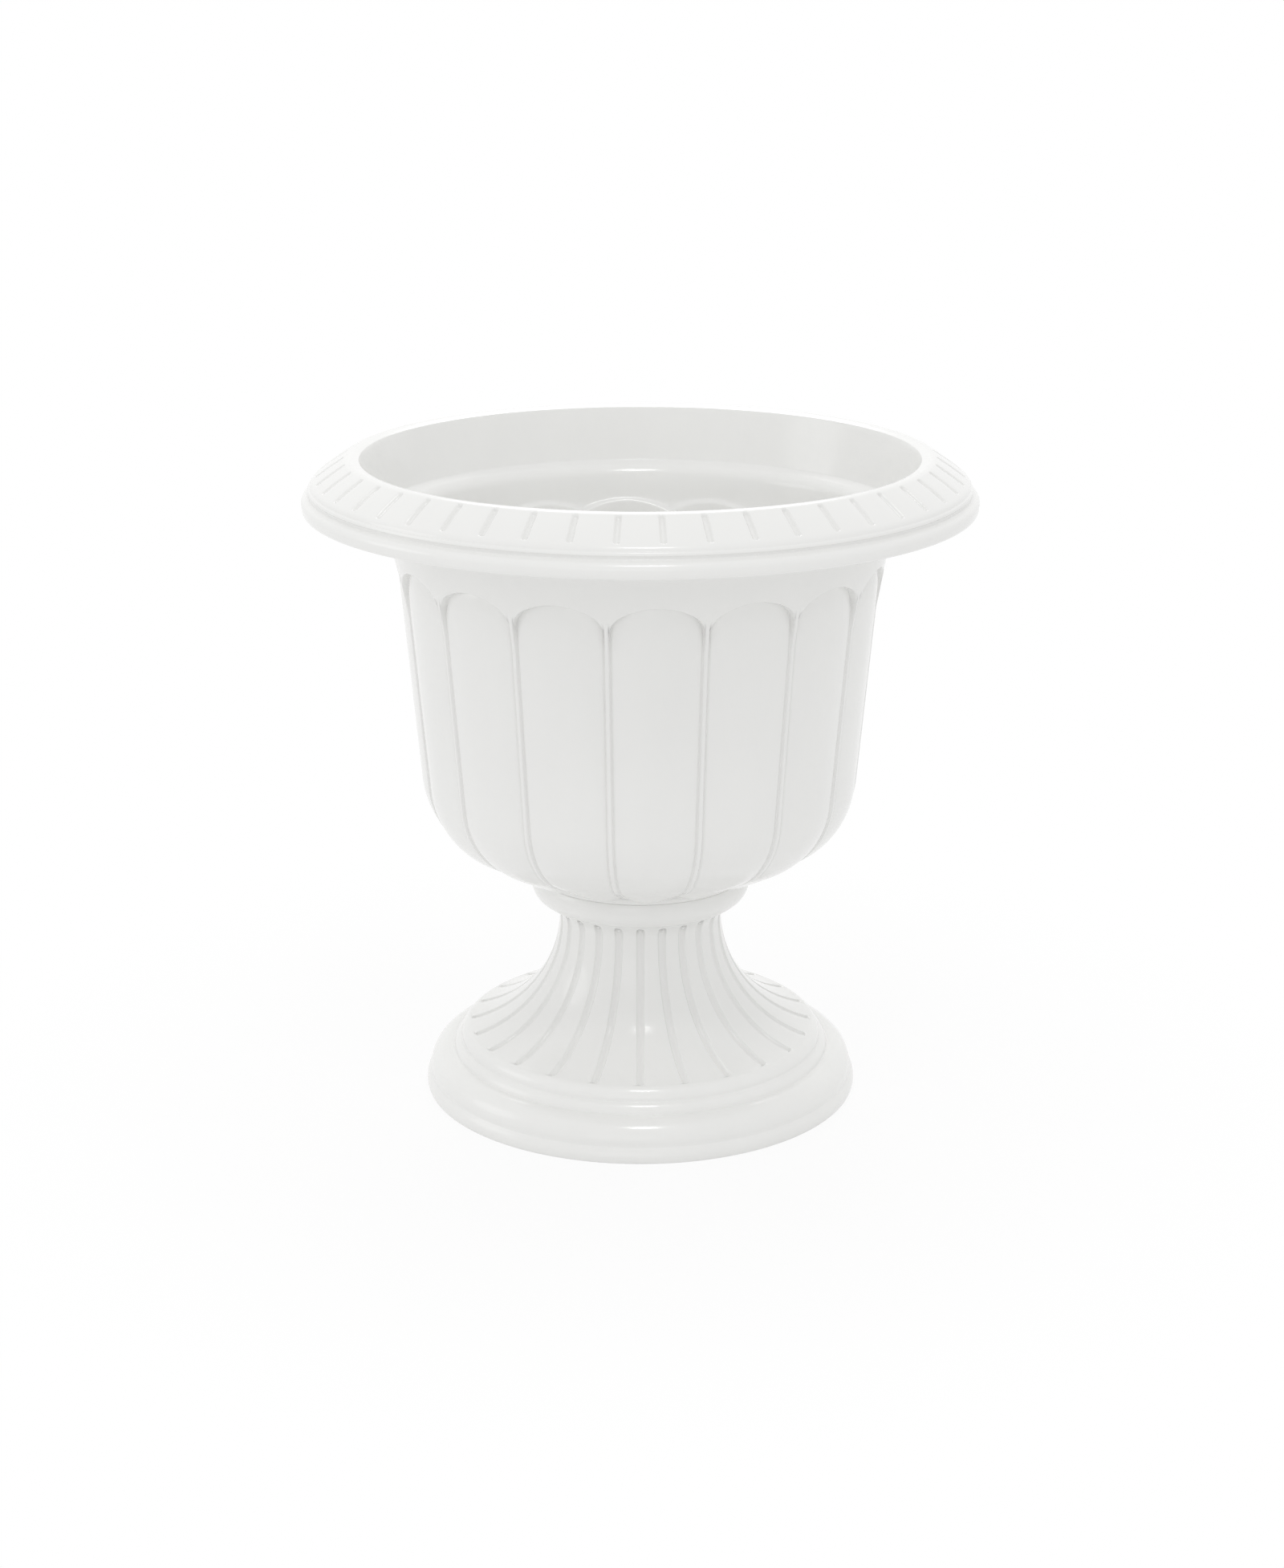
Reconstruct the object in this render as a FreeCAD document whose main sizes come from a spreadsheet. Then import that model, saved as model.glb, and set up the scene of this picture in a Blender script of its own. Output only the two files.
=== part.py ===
import FreeCAD, Part
import os
import re
import Sketcher
from FreeCAD import Placement, Rotation, Vector

# Urn planter in two mouldings: a fluted bowl that twists on to a reeded pedestal, and a
# push-in plug for the drain hole in the bowl's floor.
# Frame: origin at the centre of the foot's resting face, +Z up, front towards -Y, millimetres.
# The bowl and its plug are drawn from the seat, the face on which the bowl rests.

# Driving dimensions: name, value, meaning.
SIZES = [
    # Whole planter
    ("wall", 3.0, "moulded wall of bowl and pedestal"),
    ("seat_height", 139.0, "foot to seat of the bowl"),
    ("bowl_height", 264.5, "seat to crest of the lip"),
    ("rim_radius", 203.0, "outermost bead of the rim"),
    ("bowl_turn", 3.75, "angle of the first flute from +X"),
    # Rim
    ("rim_width", 35.0, "mouth to outermost bead"),
    ("lip_width", 7.0, "lip, mouth to crest"),
    ("lip_fall", 1.5, "mouth edge below the crest"),
    ("slope_inset", 7.0, "lower end of the slope, inside the bead"),
    ("slope_drop", 14.3, "crest to lower end of the slope"),
    ("slope_crown", 150.0, "radius of the slope's crown"),
    ("shoulder_round", 4.5, "radius below the slope"),
    ("shoulder_inset", 4.2, "foot of the shoulder, inside the bead"),
    ("shoulder_fall", 4.1, "slope to foot of the shoulder"),
    ("bead_round", 8.5, "radius of the edge bead"),
    ("bead_fall", 8.3, "foot of the shoulder to middle of the bead"),
    ("bead_upper_angle", 48.0, "bead above its middle"),
    ("bead_lower_angle", 34.5, "bead below its middle"),
    ("notches_per_flute", 3.0, "cut in the rim over each flute"),
    ("notch_length", 21.0, "along the slope"),
    ("notch_width", 4.0, "across"),
    ("notch_floor", 0.4, "floor below the slope's chord"),
    # Neck of the bowl below the rim
    ("mouth_taper", 10.0, "inside, mouth to ledge"),
    ("ledge_width", 7.5, "inside, ledge across"),
    ("ledge_step", 3.1, "ledge outside the collar's inner face"),
    ("ledge_drop", 34.5, "crest to outer edge of the ledge"),
    ("ledge_fall", 4.0, "ledge, outer edge to inner edge"),
    ("ledge_round", 6.0, "radius under the ledge"),
    ("collar_drop", 48.0, "crest to middle of the collar"),
    ("collar_swell", 2.25, "collar outside the wall line at its middle"),
    ("collar_proud", 1.6, "collar outside the wall line at the arches"),
    # Flutes
    ("flute_count", 16.0, "round the bowl"),
    ("flute_axis_radius", 70.0, "axis of each flute's own curve"),
    ("flute_drop", 60.0, "crest of the lip to top of the arches"),
    ("flute_roll", 12.5, "height of the rolled top edge"),
    ("flute_roll_round", 40.0, "radius of the rolled top edge"),
    ("flute_roll_depth", 2.0, "top edge inside the wall line"),
    ("draft", 5.0, "wall from upright, degrees"),
    ("belly_round", 56.5, "radius of the belly"),
    ("under_slope", 27.5, "underside from level, degrees"),
    ("toe_reach", 17.0, "seat's edge to where the toes start"),
    ("toe_height", 7.6, "seat to where the toes start"),
    ("valley_depth", 4.5, "floor between the toes"),
    ("arch_rise", 15.0, "springing to top of the arch"),
    ("arch_corner", 9.0, "radius at the arch's corners"),
    ("arch_depth", 10.0, "arch cut, inwards from the collar"),
    ("rib_width", 2.4, "rib in each crease"),
    ("rib_sink", 1.2, "rib below the flutes"),
    ("rib_root", 5.0, "rib's root below the flutes"),
    # Base of the bowl
    ("floor", 3.5, "bowl floor"),
    ("seat_radius", 66.6, "seat of bowl and pedestal"),
    ("band_groove", 0.7, "groove over the bead, inside the seat's edge"),
    ("band_round", 3.4, "radius of the bead above the seat"),
    ("drain_radius", 9.0, "drain hole"),
    # Twist lock
    ("spigot_radius", 45.0, "spigot under the bowl"),
    ("spigot_length", 16.0, "seat to end of the spigot"),
    ("spigot_clearance", 0.5, "round the spigot"),
    ("deck", 3.5, "pedestal's top"),
    ("lug_count", 4.0, "round the spigot"),
    ("lug_reach", 6.5, "out from the spigot"),
    ("lug_height", 4.0, "thickness"),
    ("lug_angle", 20.0, "width, degrees"),
    ("lug_clearance", 0.4, "between lug and deck"),
    ("slot_clearance", 3.0, "each side of a lug, degrees"),
    ("slot_reach", 0.9, "slot beyond the lug"),
    ("twist", 30.0, "lock to release, degrees"),
    ("stop_angle", 4.0, "width of a stop, degrees"),
    ("stop_gap", 1.0, "lug to stop when locked, degrees"),
    ("stop_height", 8.0, "stop below the deck"),
    # Pedestal
    ("cap_round", 12.0, "radius of the cushion under the seat"),
    ("cap_taper", 4.7, "underside of the cushion, inside the seat"),
    ("cap_drop", 16.4, "seat to underside of the cushion"),
    ("cap_hollow", 12.5, "radius from cushion to neck"),
    ("neck_radius", 50.9, "narrowest part"),
    ("neck_drop", 28.0, "seat to start of the flare"),
    ("foot_radius", 136.2, "base bead"),
    ("flare_end_height", 38.5, "foot to end of the flare"),
    ("groove_count", 24.0, "round the pedestal"),
    ("groove_round", 3.0, "radius of each groove"),
    ("groove_depth", 1.4, "below the surface"),
    ("groove_drop", 22.0, "seat to upper end of the grooves"),
    ("groove_margin", 3.8, "lower end of the grooves to end of the flare"),
    ("ring_round", 7.5, "radius of the two rings"),
    ("ring_one_step", 6.1, "upper ring outside the flare's end"),
    ("ring_one_height", 30.6, "foot to underside of the upper ring"),
    ("ring_two_step", 3.7, "lower ring outside the upper"),
    ("ring_two_height", 24.4, "foot to underside of the lower ring"),
    ("ring_groove", 1.2, "groove under the upper ring"),
    ("torus_step", 2.4, "foot's shoulder outside the lower ring"),
    ("torus_round", 13.0, "radius of the foot's shoulder"),
    ("torus_reach", 12.4, "foot's shoulder across"),
    ("torus_height", 12.5, "foot to lower end of the shoulder"),
    ("plinth_height", 9.6, "foot to top of the base bead"),
    ("plinth_step", 2.8, "base bead outside the shoulder"),
    ("foot_round", 9.0, "radius of the base bead"),
    ("foot_inset", 0.5, "resting edge inside the base bead"),
    # Drain plug
    ("plug_clearance", 0.1, "shank in the drain hole"),
    ("plug_taper", 0.4, "shank, head to tip"),
    ("plug_length", 10.0, "shank below the head"),
    ("plug_rim", 4.0, "head beyond the drain hole"),
    ("plug_head", 2.4, "thickness of the head"),
    ("plug_wall", 2.7, "shank's wall"),
    ("tab_width", 14.0, "pull tab"),
    ("tab_height", 11.0, "pull tab above the head"),
    ("tab_thickness", 3.2, "pull tab"),
]

doc = FreeCAD.newDocument("urn_planter")
sheet = doc.addObject("Spreadsheet::Sheet", "Sizes")
for row, (name, number, meaning) in enumerate(SIZES, start=1):
    sheet.set(f"A{row}", meaning)
    sheet.set(f"B{row}", str(number))
    sheet.setAlias(f"B{row}", name)
doc.recompute()
NAMES = {name for name, _, _ in SIZES}


def bound(text):
    """The expression with each size's name pointing at its cell."""
    def pointed(word):
        return f"Sizes.{word[0]}" if word[0] in NAMES else word[0]

    return re.sub(r"[a-z_]+", pointed, str(text))


def value(text):
    """The expression's present number."""
    return float(sheet.evalExpression(bound(text)))


def set_size(thing, field, text):
    thing.setExpression(field, bound(text))


def plane(body, role):
    return next(item for item in body.Origin.OriginFeatures if item.Role == role)


def sketch_on(body, role, name, offset=("0", "0", "0"), axis=(0, 0, 1), angle=None):
    """A sketch on one of the body's own planes, moved and turned by expressions."""
    sketch = body.newObject("Sketcher::SketchObject", name)
    sketch.AttachmentSupport = [(plane(body, role), "")]
    sketch.MapMode = "FlatFace"
    turn = Rotation(Vector(*axis), value(angle) if angle else 0)
    sketch.AttachmentOffset = Placement(Vector(*[value(part) for part in offset]), turn)
    for letter, part in zip("xyz", offset):
        if part != "0":
            set_size(sketch, f"AttachmentOffset.Base.{letter}", part)
    if angle:
        set_size(sketch, "AttachmentOffset.Rotation.Angle", angle)
    return sketch


def pin_point(sketch, edge, end, across, up):
    """Fix one end of an edge by its two distances from the sketch's origin."""
    for kind, text, axis in (("DistanceX", across, -2), ("DistanceY", up, -1)):
        if text == "0":
            sketch.addConstraint(Sketcher.Constraint("PointOnObject", edge, end, axis))
        else:
            index = sketch.addConstraint(Sketcher.Constraint(kind, -1, 1, edge, end, value(text)))
            sketch.setExpression(f"Constraints[{index}]", bound(text))


def draw(sketch, points, closed=True):
    """Outline through points (across, up), clockwise. A third entry makes the edge that ends at
    the point an arc of that radius, bulging outwards, or inwards where a fourth says hollow."""
    places = [Vector(value(point[0]), value(point[1]), 0) for point in points]
    edges = []
    order = range(len(points)) if closed else range(1, len(points))
    for index in order:
        start, end = places[index - 1], places[index]
        if len(points[index]) == 2:
            edge = sketch.addGeometry(Part.LineSegment(start, end), False)
        else:
            radius = value(points[index][2])
            chord = end - start
            outwards = Vector(-chord.y, chord.x, 0).normalize()
            sagitta = radius - (radius**2 - (chord.Length / 2) ** 2) ** 0.5
            side = -1 if "hollow" in points[index] else 1
            middle = (start + end) / 2 + outwards * side * sagitta
            edge = sketch.addGeometry(Part.Arc(start, middle, end), False)
            limit = sketch.addConstraint(Sketcher.Constraint("Radius", edge, radius))
            sketch.setExpression(f"Constraints[{limit}]", bound(points[index][2]))
        first = 1 if sketch.getPoint(edge, 1).distanceToPoint(start) < 1e-6 else 2
        edges.append((edge, first, 3 - first))
    followers = edges[1:] + edges[:1] if closed else edges[1:]
    for (edge, _, last), (follower, first, _) in zip(edges, followers):
        sketch.addConstraint(Sketcher.Constraint("Coincident", edge, last, follower, first))
    for (edge, _, last), index in zip(edges, order):
        pin_point(sketch, edge, last, points[index][0], points[index][1])
    if not closed:
        pin_point(sketch, edges[0][0], edges[0][1], points[0][0], points[0][1])
    return sketch


def ring(sketch, radius, across="0", up="0"):
    """A circle bound to its radius and centre."""
    centre = Vector(value(across), value(up), 0)
    edge = sketch.addGeometry(Part.Circle(centre, Vector(0, 0, 1), value(radius)), False)
    index = sketch.addConstraint(Sketcher.Constraint("Radius", edge, value(radius)))
    sketch.setExpression(f"Constraints[{index}]", bound(radius))
    pin_point(sketch, edge, 3, across, up)


def feature(body, kind, name, sketch, **settings):
    """A feature of the body made from a sketch, with settings bound by expressions."""
    made = body.newObject(f"PartDesign::{kind}", name)
    made.Profile = sketch
    for field, setting in settings.items():
        if isinstance(setting, str) and field in ("Length", "Angle"):
            set_size(made, field, setting)
        else:
            setattr(made, field, setting)
    sketch.Visibility = False
    return made


def around(body, name, original, count):
    """The feature repeated evenly round the body's upright axis."""
    pattern = body.newObject("PartDesign::PolarPattern", name)
    pattern.Originals = [original]
    pattern.Axis = (plane(body, "Z_Axis"), [""])
    pattern.Angle = 360
    set_size(pattern, "Occurrences", count)
    body.Tip = pattern
    return pattern


def sector(inner, outer, middle, width):
    """Corners of a plain ring sector about the origin."""
    low, high = f"({middle} - ({width}) / 2)", f"({middle} + ({width}) / 2)"
    return [
        (f"({inner}) * cos{high}", f"({inner}) * sin{high}"),
        (f"({outer}) * cos{high}", f"({outer}) * sin{high}"),
        (f"({outer}) * cos{low}", f"({outer}) * sin{low}", outer),
        (f"({inner}) * cos{low}", f"({inner}) * sin{low}"),
    ]


# Heights down from the crest of the lip, and radii in from the rim's outermost bead.
LIP_INNER = "(rim_radius - rim_width)"
LIP_CREST = f"({LIP_INNER} + lip_width)"
SLOPE_END = "(rim_radius - slope_inset)"
SLOPE_END_HEIGHT = "(bowl_height - slope_drop)"
SHOULDER_FOOT = ("rim_radius - shoulder_inset", "bowl_height - slope_drop - shoulder_fall")
LEDGE_OUTER = f"({LIP_INNER} - mouth_taper)"
LEDGE_INNER = f"({LEDGE_OUTER} - ledge_width)"
LEDGE_HEIGHT = "(bowl_height - ledge_drop)"
COLLAR_INNER = f"({LEDGE_INNER} - ledge_step)"
COLLAR_OUTER = f"({COLLAR_INNER} + wall)"
COLLAR_HEIGHT = "(bowl_height - collar_drop)"
FLUTE_TOP = "(bowl_height - flute_drop)"
SPRING = f"({FLUTE_TOP} - arch_rise)"
ARCH_FOOT = f"({SPRING} - arch_corner)"

# Wall line of the flutes: straight from the collar, a round belly, and a straight underside that
# ends where the toes start. Depth is how far inside that line a surface lies, so the flutes, the
# valleys between them, the ribs and the inside of the wall share one set of curves.
TOE_RADIUS = "(seat_radius + toe_reach)"
TOE_ROUND = f"(({TOE_RADIUS} - flute_axis_radius) / sin(under_slope))"
WALL_START = f"({COLLAR_OUTER} - collar_swell)"
WALL_LINE = f"({WALL_START} * cos(draft) - {COLLAR_HEIGHT} * sin(draft) - belly_round)"
UNDER_LINE = f"({TOE_RADIUS} * sin(under_slope) - toe_height * cos(under_slope) - belly_round)"
BELLY_AXIS = f"(({WALL_LINE} * cos(under_slope) - {UNDER_LINE} * sin(draft)) / cos(draft + under_slope))"
BELLY_LEVEL = f"(({WALL_LINE} * sin(under_slope) - {UNDER_LINE} * cos(draft)) / cos(draft + under_slope))"


def wall_radius(height, depth):
    below = f"({COLLAR_HEIGHT} - {height})"
    return f"{WALL_START} - {below} * tan(draft) - ({depth}) / cos(draft)"


def belly_start(depth):
    return (f"{BELLY_AXIS} + (belly_round - ({depth})) * cos(draft)",
            f"{BELLY_LEVEL} - (belly_round - ({depth})) * sin(draft)")


def belly_end(depth):
    return (f"{BELLY_AXIS} + (belly_round - ({depth})) * sin(under_slope)",
            f"{BELLY_LEVEL} - (belly_round - ({depth})) * cos(under_slope)",
            f"belly_round - ({depth})")


def toe_start(depth):
    return (f"{TOE_RADIUS} - ({depth}) * sin(under_slope)",
            f"toe_height + ({depth}) * cos(under_slope)")


def under_height(radius, depth):
    """Height of the straight underside at a radius."""
    across, up = toe_start(depth)
    return f"({up} - ({across} - ({radius})) * tan(under_slope))"


def flute_outline(depth, top):
    """Half section of one flute about its own upright axis."""
    def from_axis(point):
        return (f"{point[0]} - flute_axis_radius",) + tuple(point[1:])

    roll_start = f"({top} - flute_roll)"
    return [
        ("0", top),
        (f"{wall_radius(top, depth)} - flute_roll_depth - flute_axis_radius", top),
        (f"{wall_radius(roll_start, depth)} - flute_axis_radius", roll_start, "flute_roll_round"),
        from_axis(belly_start(depth)),
        from_axis(belly_end(depth)),
        from_axis(toe_start(depth)),
        ("0", f"toe_height - {TOE_ROUND} * (1 - cos(under_slope)) + ({depth})", f"{TOE_ROUND} - ({depth})"),
    ]


# Bowl: one moulding. The rim is an open-backed skirt round the mouth; below it sixteen convex
# flutes with arched tops hang under a plain collar, and curve in to a bead above the seat.
bowl = doc.addObject("PartDesign::Body", "bowl")
bowl.Label = "bowl"

BEAD_AXIS = "(rim_radius - bead_round)"
BEAD_HEIGHT = f"({SHOULDER_FOOT[1]} - bead_fall)"
BEAD_TOP = (f"{BEAD_AXIS} + bead_round * cos(bead_upper_angle)",
            f"{BEAD_HEIGHT} + bead_round * sin(bead_upper_angle)")
BEAD_FOOT = (f"{BEAD_AXIS} + bead_round * cos(bead_lower_angle)",
             f"{BEAD_HEIGHT} - bead_round * sin(bead_lower_angle)", "bead_round")
BAND_GROOVE = "(seat_radius - band_groove)"

bowl_section = sketch_on(bowl, "XZ_Plane", "bowl_section")
draw(bowl_section, [
    ("0", "bowl_height - lip_fall"),
    (LIP_INNER, "bowl_height - lip_fall"),
    (LIP_CREST, "bowl_height"),
    (SLOPE_END, SLOPE_END_HEIGHT, "slope_crown"),
    SHOULDER_FOOT + ("shoulder_round",),
    BEAD_TOP,
    BEAD_FOOT,
    (f"{BEAD_FOOT[0]} - wall", BEAD_FOOT[1]),
    (f"{SHOULDER_FOOT[0]} - wall", f"{SHOULDER_FOOT[1]} - wall / 2"),
    (f"{SLOPE_END} - wall / 2", f"{SLOPE_END_HEIGHT} - wall"),
    (LIP_CREST, "bowl_height - 2 * wall"),
    (f"{LIP_INNER} + wall / 2", "bowl_height - 2 * wall - lip_fall"),
    (f"{LEDGE_OUTER} + wall", f"{LEDGE_HEIGHT} - wall / 2"),
    (COLLAR_OUTER, COLLAR_HEIGHT, "2 * ledge_round + wall", "hollow"),
    (f"{wall_radius(FLUTE_TOP, '0')} + collar_proud", FLUTE_TOP),
    (wall_radius(ARCH_FOOT, "rib_sink"), ARCH_FOOT),
    (wall_radius(ARCH_FOOT, "valley_depth"), ARCH_FOOT),
    belly_start("valley_depth"),
    belly_end("valley_depth"),
    (BAND_GROOVE, under_height(BAND_GROOVE, "valley_depth")),
    ("seat_radius", "0", "band_round"),
    ("0", "0"),
])
bowl_blank = feature(bowl, "Revolution", "bowl_blank", bowl_section,
                     ReferenceAxis=(bowl_section, ["V_Axis"]), Angle="360")

# Arches: three-centred, cut into the collar so that it ends in a point over each crease.
HALF_SPAN = f"({COLLAR_OUTER} * tan(180 / flute_count) - rib_width / 2)"
CROWN = f"(({HALF_SPAN}^2 + arch_rise^2 - 2 * {HALF_SPAN} * arch_corner) / (2 * (arch_rise - arch_corner)))"
LEAN = f"(arch_corner / ({CROWN} - arch_corner))"
HAUNCH = f"(({HALF_SPAN} - arch_corner) * (1 + {LEAN}))"
HAUNCH_HEIGHT = f"({SPRING} + ({CROWN} - arch_rise) * {LEAN})"
arch_outline = sketch_on(bowl, "YZ_Plane", "arch_outline", offset=("0", "0", "rim_radius"))
draw(arch_outline, [
    (f"0 - {HALF_SPAN}", f"{ARCH_FOOT} - 1"),
    (f"0 - {HALF_SPAN}", SPRING),
    (f"0 - {HAUNCH}", HAUNCH_HEIGHT, "arch_corner"),
    (HAUNCH, HAUNCH_HEIGHT, CROWN),
    (HALF_SPAN, SPRING, "arch_corner"),
    (HALF_SPAN, f"{ARCH_FOOT} - 1"),
])
arch = feature(bowl, "Pocket", "arch", arch_outline, Length=f"rim_radius - {COLLAR_OUTER} + arch_depth")
around(bowl, "arches", arch, "flute_count")

# Flutes: each is a half turn of the wall line about an upright axis inside the bowl, so that
# neighbours meet in a crease that deepens towards the toes.
flute_section = sketch_on(bowl, "XZ_Plane", "flute_section", offset=("flute_axis_radius", "0", "0"))
draw(flute_section, flute_outline("0", FLUTE_TOP))
flute = feature(bowl, "Revolution", "flute", flute_section,
                ReferenceAxis=(flute_section, ["V_Axis"]), Angle="180", Midplane=True)
around(bowl, "flutes", flute, "flute_count")

# Ribs: one stands in each crease, from the collar's point down to where the toes part.
rib_section = sketch_on(bowl, "XZ_Plane", "rib_section", axis=(0, 1, 0), angle="180 / flute_count")
draw(rib_section, [
    (wall_radius(SPRING, "rib_root"), SPRING),
    (wall_radius(SPRING, "rib_sink"), SPRING),
    belly_start("rib_sink"),
    belly_end("rib_sink"),
    toe_start("valley_depth"),
    toe_start("rib_root"),
    belly_end("rib_root")[:2],
    belly_start("rib_root") + ("belly_round - rib_root", "hollow"),
])
rib = feature(bowl, "Pad", "rib", rib_section, Length="rib_width", Midplane=True)
around(bowl, "ribs", rib, "flute_count")

# Notches: short grooves down the rim's slope.
SLOPE_RUN = f"({SLOPE_END} - {LIP_CREST})"
SLOPE_ANGLE = f"atan(slope_drop / {SLOPE_RUN})"
SLOPE_MIDDLE = (f"{LIP_CREST} + {SLOPE_RUN} / 2 + wall * sin({SLOPE_ANGLE})", "0",
                f"bowl_height - slope_drop / 2 + wall * cos({SLOPE_ANGLE})")
HALF_NOTCH = "(notch_length / 2)"
notch_outline = sketch_on(bowl, "XY_Plane", "notch_outline",
                          offset=SLOPE_MIDDLE, axis=(0, 1, 0), angle=SLOPE_ANGLE)
draw(notch_outline, [
    (f"0 - {HALF_NOTCH}", "0 - notch_width / 2"),
    (f"0 - {HALF_NOTCH}", "notch_width / 2"),
    (HALF_NOTCH, "notch_width / 2"),
    (HALF_NOTCH, "0 - notch_width / 2"),
])
notch = feature(bowl, "Pocket", "notch", notch_outline, Length="wall + notch_floor")
around(bowl, "notches", notch, "flute_count * notches_per_flute")

# Inside: the mouth tapers to a small ledge over the collar; below the arches the wall is hollow
# behind every flute, and the floor is a flat disc behind the bead.
VALLEY_INSIDE = "valley_depth + wall"
HOLLOW_TOP = f"({FLUTE_TOP} + flute_roll_depth)"
FLOOR_EDGE = "(seat_radius - wall)"
hollow_section = sketch_on(bowl, "XZ_Plane", "hollow_section")
draw(hollow_section, [
    ("0", "bowl_height + wall"),
    (LIP_INNER, "bowl_height + wall"),
    (LIP_INNER, "bowl_height - lip_fall"),
    (LEDGE_OUTER, LEDGE_HEIGHT),
    (LEDGE_INNER, f"{LEDGE_HEIGHT} - ledge_fall"),
    (COLLAR_INNER, COLLAR_HEIGHT, "ledge_round", "hollow"),
    (f"{wall_radius(HOLLOW_TOP, 'wall')} + collar_proud", HOLLOW_TOP),
    (wall_radius(HOLLOW_TOP, VALLEY_INSIDE), HOLLOW_TOP),
    belly_start(VALLEY_INSIDE),
    belly_end(VALLEY_INSIDE),
    (FLOOR_EDGE, under_height(FLOOR_EDGE, VALLEY_INSIDE)),
    (FLOOR_EDGE, "floor"),
    ("0", "floor"),
])
hollow = feature(bowl, "Groove", "hollow", hollow_section,
                 ReferenceAxis=(hollow_section, ["V_Axis"]), Angle="360")
flute_hollow_section = sketch_on(bowl, "XZ_Plane", "flute_hollow_section",
                                 offset=("flute_axis_radius", "0", "0"))
draw(flute_hollow_section, flute_outline("wall", HOLLOW_TOP))
flute_hollow = feature(bowl, "Groove", "flute_hollow", flute_hollow_section,
                       ReferenceAxis=(flute_hollow_section, ["V_Axis"]), Angle="180", Midplane=True)
around(bowl, "flute_hollows", flute_hollow, "flute_count")

# Twist lock and drain: a spigot below the seat carries the lugs, and the hole is in its middle.
drain_outline = sketch_on(bowl, "XY_Plane", "drain_outline")
ring(drain_outline, "drain_radius")
feature(bowl, "Pocket", "drain", drain_outline, Length="floor", Reversed=True)
spigot_outline = sketch_on(bowl, "XY_Plane", "spigot_outline")
ring(spigot_outline, "spigot_radius")
ring(spigot_outline, "spigot_radius - wall")
feature(bowl, "Pad", "spigot", spigot_outline, Length="spigot_length", Reversed=True)
LUG_TOP = "(deck + lug_clearance)"
lug_outline = sketch_on(bowl, "XY_Plane", "lug_outline", offset=("0", "0", f"0 - {LUG_TOP}"))
draw(lug_outline, sector("(spigot_radius - wall / 2)", "(spigot_radius + lug_reach)", "0", "lug_angle"))
lug = feature(bowl, "Pad", "lug", lug_outline, Length="lug_height", Reversed=True)
around(bowl, "lugs", lug, "lug_count")
bowl.Placement = Placement(Vector(0, 0, value("seat_height")), Rotation(Vector(0, 0, 1), value("bowl_turn")))
set_size(bowl, "Placement.Base.z", "seat_height")
set_size(bowl, "Placement.Rotation.Angle", "bowl_turn")

# Pedestal: one moulding, open underneath. A cushion under the seat, a reeded neck that flares
# out in one sweep, and a stepped foot of two rings, a shoulder and a bead.
pedestal = doc.addObject("PartDesign::Body", "pedestal")
pedestal.Label = "pedestal"

TORUS_RADIUS = "(foot_radius - plinth_step)"
TORUS_START = f"({TORUS_RADIUS} - torus_reach)"
RING_TWO = f"({TORUS_START} - torus_step)"
RING_ONE = f"({RING_TWO} - ring_two_step)"
FLARE_END = f"({RING_ONE} - ring_one_step)"
FLARE_TOP = "(seat_height - neck_drop)"
FLARE_RUN = f"({FLARE_END} - neck_radius)"
FLARE_FALL = f"({FLARE_TOP} - flare_end_height)"
FLARE_ROUND = f"(({FLARE_RUN}^2 + {FLARE_FALL}^2) / (2 * {FLARE_RUN}))"
FLARE_AXIS = f"(neck_radius + {FLARE_ROUND})"
FLARE_LEAN = f"acos(({FLARE_AXIS} - {FLARE_END}) / {FLARE_ROUND})"
CAP_FOOT = ("(seat_radius - cap_taper)", "(seat_height - cap_drop)")
DECK_HOLE = "(spigot_radius + spigot_clearance)"
DECK_UNDER = "(seat_height - deck)"
pedestal_section = sketch_on(pedestal, "XZ_Plane", "pedestal_section")
draw(pedestal_section, [
    (DECK_HOLE, "seat_height"),
    ("seat_radius", "seat_height"),
    CAP_FOOT + ("cap_round",),
    ("neck_radius", FLARE_TOP, "cap_hollow", "hollow"),
    (FLARE_END, "flare_end_height", FLARE_ROUND, "hollow"),
    (f"{RING_ONE} - ring_groove", "ring_one_height", "ring_round"),
    (RING_TWO, "ring_two_height", "ring_round"),
    (TORUS_START, "ring_two_height"),
    (TORUS_RADIUS, "torus_height", "torus_round"),
    (TORUS_RADIUS, "plinth_height"),
    ("foot_radius - foot_inset", "0", "foot_round"),
    ("foot_radius - foot_inset - wall", "0"),
    (f"{TORUS_RADIUS} - wall", "torus_height"),
    (TORUS_START, "ring_two_height - wall", "torus_round - wall", "hollow"),
    (f"{RING_TWO} - wall", "ring_two_height - wall"),
    (f"{RING_ONE} - wall", "ring_one_height - wall"),
    (f"{FLARE_AXIS} - ({FLARE_ROUND} + wall) * cos({FLARE_LEAN})",
     f"{FLARE_TOP} - ({FLARE_ROUND} + wall) * sin({FLARE_LEAN})"),
    ("neck_radius - wall", FLARE_TOP, f"{FLARE_ROUND} + wall"),
    (f"{CAP_FOOT[0]} - wall", f"{CAP_FOOT[1]} + wall / 2", "cap_hollow - wall / 2"),
    ("seat_radius - wall", DECK_UNDER, "cap_round", "hollow"),
    (DECK_HOLE, DECK_UNDER),
])
feature(pedestal, "Revolution", "pedestal_blank", pedestal_section,
        ReferenceAxis=(pedestal_section, ["V_Axis"]), Angle="360")

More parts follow.
